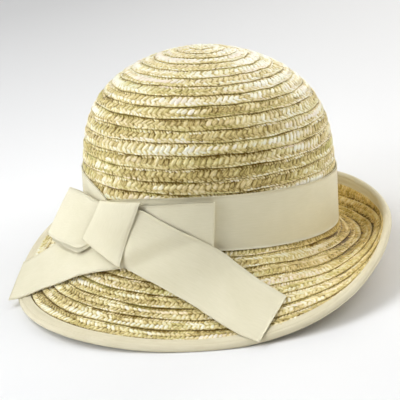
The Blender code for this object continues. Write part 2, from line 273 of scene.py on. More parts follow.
def grid_normals(points, close_rows):
    """Unit normals at a grid of points."""
    if close_rows:
        wrapped = np.concatenate([points[-1:], points, points[:1]])
        along = np.gradient(wrapped, axis=0)[1:-1]
    else:
        along = np.gradient(points, axis=0)
    normal = np.cross(along, np.gradient(points, axis=1))
    return normal / (np.linalg.norm(normal, axis=-1, keepdims=True) + 1e-9)


def ribbon_piece(name, sheet, material, thick, close_rows=False, flip=False):
    """A ribbon with thickness: rows of points along it, columns across it. Its cloth attribute is
    the distance along it, the distance across it and its width there."""
    rows, columns = sheet.shape[:2]
    normal = grid_normals(sheet, close_rows) * (-1 if flip else 1)
    along = np.linalg.norm(np.diff(sheet, axis=0), axis=-1).mean(axis=1)
    u = np.concatenate([[0.0], np.cumsum(along)])[:, None] + np.zeros((rows, columns))
    across = np.linalg.norm(np.diff(sheet, axis=1), axis=-1)
    v = np.concatenate([np.zeros((rows, 1)), np.cumsum(across, axis=1)], axis=1)
    cloth = np.stack([u, v, np.broadcast_to(v[:, -1:], v.shape)], -1)
    front, back = sheet + normal * thick / 2, sheet - normal * thick / 2
    faces = grid_faces(rows, columns, close_rows)
    count = rows * columns
    parts = [faces, faces[:, ::-1] + count]
    r = np.arange(rows if close_rows else rows - 1)
    r2 = (r + 1) % rows
    for column in (0, columns - 1):
        a, b = r * columns + column, r2 * columns + column
        side = np.stack([a, b, b + count, a + count], -1)
        parts.append(side if column else side[:, ::-1])
    if not close_rows:
        for row in (0, rows - 1):
            a = row * columns + np.arange(columns - 1)
            side = np.stack([a, a + 1, a + 1 + count, a + count], -1)
            parts.append(side[:, ::-1] if row else side)
    points, layer = np.concatenate([front, back]), np.concatenate([cloth, cloth])
    return add_piece(name, points, np.concatenate(parts), material, vectors={"cloth": layer})


def shell_piece(name, place, sides, runs, over, under, material):
    """A wall between two offsets of a surface, closed at its edges."""
    turn, share = np.meshgrid(all_round(sides), np.linspace(0.0, 1.0, runs), indexing="ij")
    upper, lower = place(turn, share, over), place(turn, share, under)
    loop = np.concatenate([upper, lower[:, ::-1]], axis=1)
    return add_piece(name, loop, grid_faces(sides, 2 * runs, True, True), material)


# Plaited straw

# How leaves differ along a row. What wanders keeps this share of the leaf before.
SLANT_KEPT, COLOUR_KEPT = 0.9, 0.87
SLANT_WANDER, SLANT_SPREAD = 5.0, 7.0  # degrees
PITCH_SPREAD = 0.08  # share of the pitch
LENGTH_RANGE, WIDTH_RANGE, BULGE_RANGE = (0.9, 1.14), (0.92, 1.12), (0.8, 1.2)  # shares
UP_SPREAD, ROLL_SPREAD, TIP_SPREAD = 0.16, 0.12, 0.14  # millimetres
TONE_WANDER, TONE_SPREAD, TONE_RANGE, TINT_WANDER = 1.15, 0.4, (-1.2, 2.2), 1.2
SIDE_SHADE, END_SHADE, PIT_SHADE = 2.0, 1.2, 3.4  # painted shade: how much darker its sides, ends and end pits get

# Columns of leaves in a row, in millimetres. up is how far their middles lie from its proud edge,
# slant is in degrees, pointed is the share of the width that is lost at the ends, and grid
# divides a leaf. leaves also takes a column's drift, how far the row moves down in a radian.
ROUND, SMALL = np.array([-1.0, -0.72, 0.0, 0.72, 1.0]), np.array([-1.0, -0.4, 0.4, 1.0])
CROWN_BEADS = (
    dict(up=2.1, slant=-34.0, length=5.2, width=2.4, pitch=4.1, bulge=0.65, pointed=0.4, grid=ROUND),
    dict(up=5.1, slant=52.0, length=6.2, width=3.4, pitch=4.1, bulge=1.0, pointed=0.3, grid=ROUND),
)
CROWN_EDGES = (
    dict(up=0.7, slant=-24.0, length=3.4, width=1.5, pitch=2.6, bulge=0.35, pointed=0.4, grid=SMALL),
    dict(up=8.0, slant=-46.0, length=4.0, width=1.9, pitch=2.2, bulge=0.6, pointed=0.35, grid=SMALL),
)
BRIM_BEADS = (
    dict(up=5.3, slant=-38.0, length=5.2, width=2.7, pitch=3.4, bulge=0.75, pointed=0.4, grid=ROUND),
    dict(up=2.3, slant=57.0, length=4.3, width=2.8, pitch=3.4, bulge=0.95, pointed=0.3, grid=ROUND),
)
BRIM_EDGES = (
    dict(up=0.6, slant=-24.0, length=3.0, width=1.3, pitch=2.3, bulge=0.3, pointed=0.4, grid=SMALL),
    dict(up=8.2, slant=42.0, length=3.6, width=1.9, pitch=2.1, bulge=0.5, pointed=0.4, grid=SMALL),
)
PLAIN = (
    dict(up=2.1, slant=-35.0, length=6.6, width=3.9, pitch=4.4, bulge=0.6, pointed=0.5, grid=SMALL),
    dict(up=6.5, slant=35.0, length=6.6, width=3.9, pitch=4.4, bulge=0.6, pointed=0.5, grid=SMALL),
)

# A row's plain strip under its leaves: distance up from the edge, how far out, and tone, which
# is the strip's own duller straw with painted shade at its lip and under the next row
STRIP = np.array(
    [
        (0.30, -0.60, -3.2),
        (-0.05, 0.35, -2.6),
        (0.05, 0.80, -1.2),
        (0.60, 1.00, -0.6),
        (3.00, 0.75, -1.9),
        (6.20, 0.45, -1.9),
        (8.20, 0.10, -2.2),
        (9.60, -0.25, -3.0),
    ]
)
STRIP_PITCH, STRIP_ROUND = 3.0, 240  # millimetres between its stations, or their number
STRIP_END, STRIP_SUNK = 1.0, -0.5  # this far past the row's end the strip sinks to this

FIRST_LEAF, FIRST_STRIP = 1.3, 2.0  # how far from the crown's top its spiral starts
LEAF_NEAREST, STRIP_NEAREST = 0.25, 0.1  # how near to the top its points may come
LEAF_RADIUS, STRIP_RADIUS = 1.5, 6.0  # the least radius that spaces them there
BRIM_LEAF_FIRST = -1.0  # no brim leaf's middle is further inside the headline
BRIM_LEAF_LAST = 0.8  # or further under the binding's edge
BRIM_PLACES = 721  # where the radius is worked out round a row of the brim
FRONT_LEFT = 0.82  # the turn where the crown's straw gets no painted sheen


def wandering(count, keep):
    """Seeded noise in which each value keeps a share of the one before."""
    noise = rng.normal(size=count)
    out = np.empty(count)
    last = 0.0
    for i in range(count):
        last = keep * last + math.sqrt(1 - keep * keep) * noise[i]
        out[i] = last
    return out


def stations(turns, radii, pitch):
    """Turns at even distances along a path with these turns and radii."""
    steps = np.abs(np.diff(turns)) * (radii[1:] + radii[:-1]) / 2
    along = np.concatenate([[0.0], np.cumsum(steps)])
    count = max(3, int(round(along[-1] / pitch)))
    at = np.arange(count) + 0.5 + rng.normal(0, PITCH_SPREAD, count)
    return np.interp(at * along[-1] / count, along, turns)


def wander(turn, run):
    """Rows sewn by hand, so they aren't quite even."""
    uneven = run
    for size, waves_round, waves_down, phase in UNEVEN:
        uneven = uneven + size * np.sin(waves_round * turn + waves_down * run + phase)
    return uneven


def row_profile(up):
    """How far out a row lies, by the distance up from its proud edge."""
    share = np.clip(up / ROW, -0.1, 1.2)
    swell = SWELL * np.sin(math.pi * np.clip(share, 0, 1))
    return STEP * (1.0 - share) + swell - TUCK * np.clip(share - 0.8, 0, 1)


def groove(up):
    """Painted shade in the groove under the next row's edge, and at a row's own edge."""
    under_next = 2.2 * np.clip(up - 7.5, 0.0, 1.4)
    own_edge = 1.6 * np.clip(0.5 - up, 0.0, 0.6)
    return under_next + own_edge


def per_leaf(values):
    """One value for each leaf, shaped to spread over the leaf's grid."""
    return values[:, None, None]


def leaves(turn, line, radius, column, place, side, look):
    """Bulging straw leaves: their points, tones, tints and grain. turn, line and radius are their
    stations along a row, place turns (turn, run, out) into points, side is 1 outside the hat and
    -1 inside it, and look gives painted light, the strength of painted shade between leaves and
    painted shade along a row. The tones carry this painted light and shade."""
    count = len(turn)
    turn, line, radius = per_leaf(turn), per_leaf(line), per_leaf(radius)
    # p and x run along a leaf, q and y across it, a along the row and b up from its edge.
    p, q = column["grid"][None, :, None], column["grid"][None, None, :]
    slant = column["slant"] + SLANT_WANDER * wandering(count, SLANT_KEPT)
    slant = np.radians(per_leaf(slant + rng.normal(0, SLANT_SPREAD, count)))
    length = column["length"] * per_leaf(rng.uniform(*LENGTH_RANGE, count))
    width = column["width"] * per_leaf(rng.uniform(*WIDTH_RANGE, count))
    x = p * length / 2 * (1.0 - 0.10 * q**2)
    y = q * width / 2 * (1.0 - column["pointed"] * np.abs(p) ** 3)
    a = x * np.cos(slant) - y * np.sin(slant)
    b = column["up"] + x * np.sin(slant) + y * np.cos(slant)
    b = b + per_leaf(rng.normal(0, UP_SPREAD, count))
    b = np.maximum(b, -0.05 + 0.25 * b)
    bulge = column["bulge"] * per_leaf(rng.uniform(*BULGE_RANGE, count))
    crest = (1.0 - np.abs(q) ** 2.4) * (1.0 - 0.7 * np.abs(p) ** 2.4) - 0.15
    rolled = per_leaf(rng.normal(0, ROLL_SPREAD, count)) * q
    tipped = per_leaf(rng.normal(0, TIP_SPREAD, count)) * p
    out = row_profile(b) + bulge * crest + rolled + tipped
    along = turn + a / radius
    points = place(along, line - b - column["drift"] * (along - turn), out * side)

    tone = TONE_WANDER * wandering(count, COLOUR_KEPT) + TONE_SPREAD * rng.normal(size=count)
    # painted light and shade from the look, added to each leaf's random tone
    painted_light, shade_strength, shaded = look(turn, line)
    tone = per_leaf(np.clip(tone, *TONE_RANGE)) + painted_light
    tint = per_leaf(TINT_WANDER * wandering(count, COLOUR_KEPT))
    # painted shade at leaf sides, ends and tucked-in ends, and in the grooves between rows
    pit_shade = PIT_SHADE * per_leaf(rng.uniform(0.0, 1.0, count)) ** 1.5 * np.clip(p, 0.0, 1.0) ** 3
    gap_shade = SIDE_SHADE * np.abs(q) ** 4 + END_SHADE * np.abs(p) ** 4 + pit_shade + groove(b)
    tone = tone - shade_strength * gap_shade - shaded * np.clip(b - 4.0, 0.0, 5.0)
    number = per_leaf(rng.uniform(0, 50, count))
    grain = np.stack([0.3 * x, y, np.broadcast_to(number, x.shape)], -1)
    return points, tone, np.broadcast_to(tint, x.shape), grain


def join_leaves(name, groups, material, inside=False):
    """One piece from groups of leaves, in which each leaf is a small grid of faces."""
    points, tone, tint, grain = (np.concatenate(arrays) for arrays in zip(*groups))
    count, side = points.shape[:2]
    starts = np.arange(count)[:, None, None] * side**2
    faces = (starts + grid_faces(side, side)).reshape(-1, 4)
    values = {"tone": tone, "tint": tint}
    if inside:
        faces = faces[:, ::-1]
    elif name.startswith("brim"):
        values["warm_curl_shade"] = warm_curl_shade(points)
    return add_piece(name, points, faces, material, values, {"grain": grain})


def spiral(first, last):
    """Turns and distances from the top along the crown's spiral edge, between two distances."""
    rounds = np.linspace((first - SPIRAL_RUN) / ROW, (last - SPIRAL_RUN) / ROW, SPIRAL_STEPS)
    angle = rounds * 2 * math.pi
    return SPIRAL_TURN - angle, SPIRAL_RUN + ROW * angle / (2 * math.pi)


def spiral_line(turn):
    """The spiral edge's distance from the top at a turn, which goes on past a full circle."""
    return SPIRAL_RUN + ROW * (SPIRAL_TURN - turn) / (2 * math.pi)


def run_to(height):
    """The distance from the crown's top down to a height."""
    return np.interp(-height, -HEIGHT, RUN)


def crown_look(turn, line):
    """How much painted light the crown's straw gets, how dark the painted shade between its leaves
    is, and how much darker a row gets per millimetre toward the next row. Its painted light grows
    toward the top and away from the wearer's front left, as sheen; low down it is painted shade."""
    # painted light toward the top, painted shade low down
    down = np.interp(line, (0.0, 45.0, 95.0, 150.0), (1.3, 0.9, -0.6, -0.8))
    # painted sheen on the sides, away from the wearer's front left
    side_sheen = np.minimum(1.6 * (1 - np.cos(turn - FRONT_LEFT)), 0.54)
    return down + side_sheen, 1.0 + 0 * line, 0 * line


def brim_look(turn, line):
    """The same for the brim: painted shade at its sides and back, none in front, where the painted
    shade between its leaves is strongest. Its rows get painted shade toward the next row in the curl,
    and painted light toward it at the front's sides."""
    front = np.cos(turn)
    # painted shade at the sides and back, none in front
    painted_light = np.interp(front, (-0.6, 0.0, 0.5, 0.9), (-0.45, -0.4, -0.5, 0.0))
    # how strong the painted shade between leaves is, strongest in front
    shade_strength = np.interp(front, (-0.3, 0.3, 0.9), (0.45, 0.8, 1.25))
    # painted shade along each row in the curl, painted light at the front's sides
    return painted_light, shade_strength, np.interp(front, (-0.5, 0.0, 0.35, 0.75), (0.4, 0.1, -0.3, 0.0))


def warm_curl_shade(points):
    """Painted shade in the brim's curl, where its straw turns a warmer colour, as bounced light makes
    it.
    """
    turn = np.arctan2(points[..., 0], -points[..., 1])
    return np.interp(np.cos(turn), (-0.7, 0.5), (1.0, 0.0))


def row_limit(turn):
    """How far from the headline the brim's last row may reach."""
    return rim(turn) - BINDING_WIDTH + UNDER_BINDING


def crown_leaves(columns, last_height, face):
    """Rows that spiral down the crown, each overlapping the next."""
    side, offset = face
    groups = []

    def place(turn, run, out):
        return on_crown(turn, np.maximum(wander(turn, run), LEAF_NEAREST), out + offset)

    for column in columns:
        turn, line = spiral(FIRST_LEAF + column["up"], run_to(last_height))
        radius = crown_radius(turn, line - column["up"])
        at = stations(turn[::-1], radius[::-1], column["pitch"])
        line_at = spiral_line(at)
        radius_at = np.maximum(crown_radius(at, line_at - column["up"]), LEAF_RADIUS)
        spec = dict(column, drift=ROW / (2 * math.pi))
        groups.append(leaves(at, line_at, radius_at, spec, place, side, crown_look))
    return groups


def brim_leaves(columns, face):
    """Rows from the headline out to the binding, each overlapping the next one out."""
    side, offset = face
    groups = []

    def place(turn, run, out):
        run = np.clip(wander(turn, run), ROWS_START, row_limit(turn))
        return on_brim(turn, run, out + offset)

    circle = np.linspace(0, 2 * math.pi, BRIM_PLACES)
    for row in range(BRIM_ROWS):
        line = BRIM_FIRST + BRIM_ROW * row
        for column in columns:
            up = column["up"] * BRIM_ROW / ROW
            away, _ = brim_arc(circle, np.full_like(circle, max(line - up, 0.0)), 0.0)
            radius = head_radius(circle) + away
            radius = np.hypot(radius, np.gradient(radius, circle))
            at = stations(circle, radius, column["pitch"]) + rng.uniform(0, 1)
            last = rim(at) - BINDING_WIDTH + BRIM_LEAF_LAST
            at = at[(BRIM_LEAF_FIRST < line - up) & (line - up < last)]
            if len(at) == 0:
                continue
            radius_at = np.interp(at % (2 * math.pi), circle, radius)
            spec = dict(column, drift=0.0, up=up)
            line_at = np.full(len(at), line)
            groups.append(leaves(at, line_at, radius_at, spec, place, side, brim_look))
    return groups


def strip_piece(name, turns, lines, place, look, material, close):
    """Continuous strips along rows. turns and lines hold one row of stations for each strip."""
    up, out, tone = STRIP.T
    points, faces, tones, start = [], [], [], 0
    for turn, line in zip(turns, lines):
        turn, line = turn[:, None], line[:, None]
        points.append(place(turn, line - up, out + 0 * turn).reshape(-1, 3))
        # the strip's tones, with painted shade as strong as between the leaves
        tones.append((tone * look(turn, line)[1] + 0 * turn).ravel())
        faces.append(start + grid_faces(len(turn), len(STRIP), close))
        start += len(points[-1])
    points, tones = np.concatenate(points), np.concatenate(tones)
    values = {"tone": tones, "tint": 0 * tones}
    if name.startswith("brim"):
        values["warm_curl_shade"] = warm_curl_shade(points)
    grain = {"grain": points * [0.3, 0.3, 1.0]}
    return add_piece(name, points, np.concatenate(faces), material, values, grain)


def crown_strip(name, last_height, material):
    """The strip under the crown's leaves, in one long spiral."""
    turn, line = spiral(FIRST_STRIP, run_to(last_height))
    radius = np.maximum(MEAN_RADIUS * np.interp(line, RUN, SHARE), STRIP_RADIUS)
    at = stations(turn[::-1], radius[::-1], STRIP_PITCH)

    def place(turn, run, out):
        return on_crown(turn, np.maximum(wander(turn, run), STRIP_NEAREST), out)

    return strip_piece(name, [at], [spiral_line(at)], place, crown_look, material, False)


def brim_strip(name, material):
    """The strips under the brim's leaves, one round the hat for each row."""
    circle = all_round(STRIP_ROUND)

    def place(turn, run, out):
        limit = row_limit(turn)
        out = np.where(run > limit + STRIP_END, STRIP_SUNK, out)
        return on_brim(turn, np.clip(wander(turn, run), ROWS_START, limit), out)

    lines = [np.full(len(circle), BRIM_FIRST + BRIM_ROW * row) for row in range(BRIM_ROWS)]
    return strip_piece(name, [circle] * BRIM_ROWS, lines, place, brim_look, material, True)


# Materials


class Nodes:
    """A short way to add and link shader nodes."""

    def __init__(self, name):
        self.material = bpy.data.materials.new(name)
        self.material.use_nodes = True
        self.tree = self.material.node_tree
        self.surface = self.tree.nodes["Principled BSDF"]

    def put(self, socket, value):
        if isinstance(value, bpy.types.NodeSocket):
            self.tree.links.new(value, socket)
        else:
            socket.default_value = value

    def add(self, kind, settings=(), **inputs):
        """A node with its settings. An input is named, or numbered as in i0."""
        node = self.tree.nodes.new(kind)
        for key, value in dict(settings).items():
            setattr(node, key, value)
        for key, value in inputs.items():
            numbered = key[0] == "i" and key[1:].isdigit()
            self.put(node.inputs[int(key[1:]) if numbered else key], value)
        return node

    def attribute(self, name, output="Fac"):
        return self.add("ShaderNodeAttribute", {"attribute_name": name}).outputs[output]

    def noise(self, **inputs):
        return self.add("ShaderNodeTexNoise", **inputs).outputs[0]

    def math(self, operation, a, b=0.0, c=0.0):
        return self.add("ShaderNodeMath", {"operation": operation}, i0=a, i1=b, i2=c).outputs[0]

    def clamp(self, value, low, high):
        return self.math("MINIMUM", self.math("MAXIMUM", value, low), high)

    def mix(self, factor, a, b):
        node = self.add("ShaderNodeMix", {"data_type": "RGBA"}, i0=factor, i6=a, i7=b)
        return node.outputs[2]

    def ramp(self, factor, stops):
        node = self.add("ShaderNodeValToRGB", i0=factor)
        ramp = node.color_ramp
        while len(ramp.elements) < len(stops):
            ramp.elements.new(0.5)
        for element, (place, colour) in zip(ramp.elements, stops):
            element.position = place
            element.color = (*colour, 1.0)
        return node.outputs[0]

    def finish(self, **inputs):
        """The material, with these values and links in its surface shader."""
        for key, value in inputs.items():
            self.put(self.surface.inputs[key.replace("_", " ")], value)
        return self.material


def linear(r, g, b):
    """A colour written as 0 to 255 display values."""
    return tuple(((c / 255 + 0.055) / 1.055) ** 2.4 if c > 10 else c / 255 / 12.92 for c in (r, g, b))


GREEN_STRAW, PINK_STRAW = (*linear(196, 200, 110), 1.0), (*linear(244, 218, 200), 1.0)
# the second tint colours the painted shade in the brim's curl
WHITE_TINT, CURL_SHADE_TINT = (1.0, 1.0, 1.0, 1.0), (1.0, 0.89, 0.58, 1.0)
THREADS_PER_MM = 1.4
SELVEDGE = 0.9  # width of a ribbon's woven edge


def straw_material(name, dark, middle, light, pale):
    """Straw coloured by its tone attribute, which holds random tone with painted light and shade, by
    its tint attribute, and by the painted shade that makes the brim's curl warmer, with fibres along
    its grain.
    """
    n = Nodes(name)
    tone, tint = n.attribute("tone"), n.attribute("tint")
    grain = n.attribute("grain", "Vector")
    fibre = n.noise(Vector=grain, Scale=2.6, Detail=3.0, Roughness=0.6)
    level = n.math("MULTIPLY_ADD", tone, 0.18, 0.73)
    level = n.math("MULTIPLY_ADD", n.math("SUBTRACT", fibre, 0.5), 0.3, level)
    stripe = n.noise(Vector=grain, Scale=1.2, Detail=1.0)
    level = n.math("MULTIPLY_ADD", n.math("SUBTRACT", stripe, 0.5), 0.8, level)
    colour = n.ramp(level, ((0.05, dark), (0.42, middle), (0.68, light), (0.92, pale)))
    lit = n.clamp(n.math("MULTIPLY_ADD", level, 1.6, -0.45), 0.0, 1.0)
    green = n.math("MULTIPLY", n.math("MAXIMUM", tint, 0.0), 0.09)
    pink = n.math("MULTIPLY", n.math("MAXIMUM", n.math("MULTIPLY", tint, -1.0), 0.0), 0.18)
    colour = n.mix(green, colour, GREEN_STRAW)
    colour = n.mix(n.math("MULTIPLY", pink, lit), colour, PINK_STRAW)
    # painted shade in the brim's curl, a warmer colour
    curl_shade_colour = n.mix(n.attribute("warm_curl_shade"), WHITE_TINT, CURL_SHADE_TINT)
    colour = n.add("ShaderNodeVectorMath", {"operation": "MULTIPLY"}, i0=colour, i1=curl_shade_colour).outputs[0]
    bump = n.add("ShaderNodeBump", Strength=0.35, Distance=0.0003, Height=fibre).outputs[0]
    return n.finish(
        Base_Color=colour,
        Roughness=n.math("MULTIPLY_ADD", fibre, 0.2, 0.24),
        Specular_IOR_Level=n.math("MULTIPLY_ADD", lit, 0.65, 0.1),
        Sheen_Weight=0.3,
        Sheen_Roughness=0.4,
        Normal=bump,
    )


def shade_coloured_straw(name, colour):
    """A dark straw colour for the wall under the rows, which shows only between them: painted shade.
    """
    n = Nodes(name)
    darker = tuple(0.7 * c for c in colour)
    colour = n.ramp(n.noise(Scale=180.0, Detail=3.0), ((0.3, darker), (0.7, colour)))
    return n.finish(Base_Color=colour, Roughness=0.8)


def ribbon_material(name, light, dark):
    """A plain-weave ribbon. The cloth attribute gives millimetres along and across it."""
    n = Nodes(name)
    cloth = n.attribute("cloth", "Vector")
    u, v, width = n.add("ShaderNodeSeparateXYZ", i0=cloth).outputs
    thread_u = n.math("SINE", n.math("MULTIPLY", u, 2 * math.pi * THREADS_PER_MM))
    thread_v = n.math("SINE", n.math("MULTIPLY", v, 2 * math.pi * THREADS_PER_MM))
    weave = n.math("MULTIPLY", thread_u, thread_v)
    cloud = n.noise(Vector=cloth, Scale=0.05, Detail=3.0)
    drawn_out = n.add("ShaderNodeMapping", i0=cloth, Scale=(0.12, 1.6, 1.0)).outputs[0]
    slub = n.noise(Vector=drawn_out, Scale=1.0, Detail=2.0)
    level = n.math("MULTIPLY_ADD", cloud, 0.5, n.math("MULTIPLY", slub, 0.5))
    colour = n.ramp(level, ((0.3, dark), (0.7, light)))
    edge = n.math("MINIMUM", v, n.math("SUBTRACT", width, v))
    selvedge = n.math("LESS_THAN", edge, SELVEDGE)
    # The woven edge is paler, partly its own colour and partly a painted highlight where it catches
    # the light.
    selvedge_highlight = (*[min(1.0, 1.08 * c) for c in light], 1.0)
    colour = n.mix(n.math("MULTIPLY", selvedge, 0.5), colour, selvedge_highlight)
    height = n.math("MULTIPLY_ADD", slub, 0.6, n.math("MULTIPLY", weave, 0.5))
    height = n.math("ADD", height, n.math("MULTIPLY", selvedge, 0.8))
    bump = n.add("ShaderNodeBump", Strength=0.3, Distance=0.0002, Height=height).outputs[0]
    return n.finish(
        Base_Color=colour, Roughness=0.85, Sheen_Weight=0.15, Sheen_Roughness=0.5, Normal=bump
    )


STRAW = straw_material(
    "straw",
    dark=linear(104, 78, 14),
    middle=linear(212, 191, 122),
    light=linear(241, 227, 168),
    pale=linear(255, 252, 232),
)
UNDER = straw_material(
    "straw_inside",
    dark=linear(128, 100, 50),
    middle=linear(182, 156, 98),
    light=linear(208, 186, 128),
    pale=linear(228, 212, 165),
)
# the wall under the rows is dark as painted shade
CORE = shade_coloured_straw("straw_core_shade", linear(96, 76, 34))
RIBBON = ribbon_material("ribbon", linear(238, 231, 203), linear(229, 222, 191))
BINDING = ribbon_material("binding", linear(230, 221, 192), linear(219, 209, 176))


# Straw pieces

# The straw's faces: which way they look, and how far out from the outer surface they lie
OUTSIDE, INSIDE = (1.0, 0.0), (-1.0, -WALL + 0.3)
FINE_TO, STRIP_TO, PLAIN_TO = 27.0, 25.0, 0.5  # heights where the crown's rows end
CORE_OVER, CORE_UNDER = -0.15, -WALL + 0.45
CORE_TOP, CORE_RIM = 0.3, 1.5  # how far the cores stay from the crown's top and the rim
CORE_ROUND, CROWN_CORE_RUNS, BRIM_CORE_RUNS = 144, 60, 30

crown_braid = join_leaves("crown_braid", crown_leaves(CROWN_BEADS, FINE_TO, OUTSIDE), STRAW)
crown_edges = join_leaves("crown_braid_edges", crown_leaves(CROWN_EDGES, FINE_TO, OUTSIDE), STRAW)
crown_rows = crown_strip("crown_rows", STRIP_TO, STRAW)
crown_inside = join_leaves(
    "crown_braid_inside", crown_leaves(PLAIN, PLAIN_TO, INSIDE), UNDER, inside=True
)
brim_braid = join_leaves("brim_braid", brim_leaves(BRIM_BEADS, OUTSIDE), STRAW)
brim_edges = join_leaves("brim_braid_edges", brim_leaves(BRIM_EDGES, OUTSIDE), STRAW)
brim_rows = brim_strip("brim_rows", STRAW)
brim_under = join_leaves("brim_braid_under", brim_leaves(PLAIN, INSIDE), UNDER, inside=True)


def core_of_crown(turn, share, out):
    return on_crown(turn, CORE_TOP + share * (RUN[-1] - CORE_TOP), out)


def core_of_brim(turn, share, out):
    return on_brim(turn, share * (rim(turn) - CORE_RIM), out)


crown_core = shell_piece(
    "crown_core", core_of_crown, CORE_ROUND, CROWN_CORE_RUNS, CORE_OVER, CORE_UNDER, CORE
)
brim_core = shell_piece(
    "brim_core", core_of_brim, CORE_ROUND, BRIM_CORE_RUNS, CORE_OVER, CORE_UNDER, CORE
)

for piece in (crown_braid, crown_edges, crown_rows, crown_inside, crown_core):
    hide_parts("crown")
for piece in (brim_braid, brim_edges, brim_rows, brim_under, brim_core):
    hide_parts("brim")


# Ribbon pieces. Left and right are as in the photo.

RIBBON_THICK, KNOT_THICK, BINDING_THICK = 0.7, 0.8, 0.5
BAND_OUT, BAND_FOOT = 1.95, 0.6  # the band stands this far off the crown and over the brim
BAND_DIP = 13.0  # the knot gathers the band's top edge down this far
DIP_REACH_LEFT, DIP_REACH_RIGHT = 9.0, 26.0  # degrees in which the dip dies away
GATHER_AT, GATHER_REACH = 3.0, 20.0  # the middle of the band's gathers and their reach, degrees
ROUND_STEPS, BAND_ACROSS = 360, 17  # points round the hat, and across the band
EDGE_STEPS, KNOT_STEPS = 8, 6  # points for each row of a table
ACROSS = 15  # points across a tail or loop
LOOP_FOLD = (75, 50, 25, 0, -25, -50, -75)  # degrees round a loop's folded end
NARROWEST_GAP = 0.5  # between the middle of a loop and each of its plies
KNOT_BULGE = 3.6  # how far the middle of the knot stands out
KNOT_EDGE, KNOT_TUCK = 0.96, 0.9  # from this share of its width its right side tucks in so far

# The binding's section round the rim: upper leg with a stitched groove, rolled edge, lower leg.
# Distance in from the rim, and how far out from the straw's outer surface.
BINDING_LEGS = (
    (BINDING_WIDTH, 0.95),
    (BINDING_WIDTH - 0.5, 1.35),
    (BINDING_WIDTH - 1.1, 1.3),
    (BINDING_WIDTH - 1.5, 1.15),
    (BINDING_WIDTH - 2.0, 1.35),
    (BINDING_WIDTH - 3.2, 1.6),
    (4.7, 1.75),
    (3.7, 1.6),
    (3.3, 1.25),
    (2.9, 1.55),
    (1.9, 1.4),
    (0.9, 0.6),
    (0.3, -0.4),
    (0.2, -1.1),
    (0.5, -2.0),
    (1.4, -2.9),
    (2.8, -3.3),
    (5.0, -3.3),
    (BINDING_WIDTH - 2.0, -3.1),
    (BINDING_WIDTH, -2.8),
)

# The loops, from the knot to the fold: degrees, height over the headline and distance out of the
# top edge and of the low edge, and half the gap between the plies. Lengths in this and the next
# tables are shares of RIBBON_WIDTH.
LEFT_LOOP = (
    (0.5, 0.64, 0.105, -6.0, 0.02, 0.150, 0.010),
    (-3.0, 0.66, 0.115, -8.9, -0.12, 0.255, 0.014),
    (-7.0, 0.68, 0.130, -12.3, -0.21, 0.350, 0.025),
    (-11.5, 0.70, 0.145, -16.5, -0.21, 0.420, 0.035),
    (-16.0, 0.71, 0.165, -22.0, -0.23, 0.480, 0.042),
    (-21.5, 0.70, 0.210, -29.0, -0.27, 0.570, 0.050),
    (-26.8, 0.67, 0.260, -36.6, -0.30, 0.680, 0.055),
)
RIGHT_LOOP = (
    (14.0, 0.72, 0.110, 10.0, 0.02, 0.112, 0.020),
    (19.6, 0.76, 0.110, 14.6, 0.00, 0.115, 0.022),
    (28.0, 0.81, 0.112, 25.0, -0.02, 0.122, 0.028),
    (38.0, 0.86, 0.128, 36.0, -0.04, 0.126, 0.026),
    (47.6, 0.88, 0.148, 45.8, -0.05, 0.132, 0.026),
)
# The tails, from the knot to the cut end: degrees, run as in over_hat and lift of the top edge,
# and the same of the low edge.
LEFT_TAIL = (
    (-13.0, -0.08, 0.120, 13.0, -0.39, 0.078),
    (-19.0, -0.19, 0.130, 7.6, -0.50, 0.116),
    (-24.0, -0.32, 0.150, 0.6, -0.63, 0.112),
    (-29.5, -0.48, 0.205, -7.5, -0.83, 0.098),
    (-34.0, -0.65, 0.30, -14.2, -1.05, 0.075),
    (-37.6, -1.06, 0.34, -21.8, -1.41, 0.070),
    (-39.2, -1.41, 0.33, -24.5, -1.82, 0.065),
    (-39.6, -1.60, 0.33, -26.0, -2.05, 0.060),
)
RIGHT_TAIL = (
    (13.0, 0.70, 0.160, 5.0, -0.36, 0.125),
    (19.5, 0.69, 0.182, 11.2, -0.42, 0.115),
    (27.0, 0.54, 0.182, 17.0, -0.49, 0.085),
    (34.5, 0.39, 0.185, 24.0, -0.59, 0.070),
    (42.5, 0.23, 0.190, 33.0, -0.78, 0.065),
    (50.1, 0.04, 0.190, 40.5, -0.99, 0.065),
    (56.5, -0.33, 0.150, 46.5, -1.25, 0.065),
    (63.5, -0.69, 0.100, 53.0, -1.62, 0.065),
    (69.8, -1.11, 0.070, 57.9, -1.92, 0.065),
)
# A tail's folds: height in millimetres, place along it, how wide, and how slanted
LEFT_FOLDS = ((0.8, 0.35, 0.12, 0.2),)
RIGHT_FOLDS = ((0.9, 0.22, 0.07, -0.35), (-0.7, 0.33, 0.06, -0.3), (0.5, 0.48, 0.1, -0.3))
# The knot from its top to its low end: degrees, height and distance from the crown, of its left
# edge and then of its right edge.
KNOT = (
    (-1.3, 0.66, 0.080, 18.9, 0.79, 0.160),
    (-1.3, 0.69, 0.125, 19.1, 0.82, 0.205),
    (-1.4, 0.67, 0.170, 19.1, 0.80, 0.250),
    (-2.6, 0.52, 0.222, 16.7, 0.53, 0.260),
    (-4.8, 0.34, 0.258, 14.1, 0.26, 0.272),
    (-7.6, 0.16, 0.294, 12.1, -0.01, 0.302),
    (-9.5, 0.00, 0.338, 11.6, -0.255, 0.400),
    (-9.5, -0.03, 0.318, 11.4, -0.285, 0.380),
)


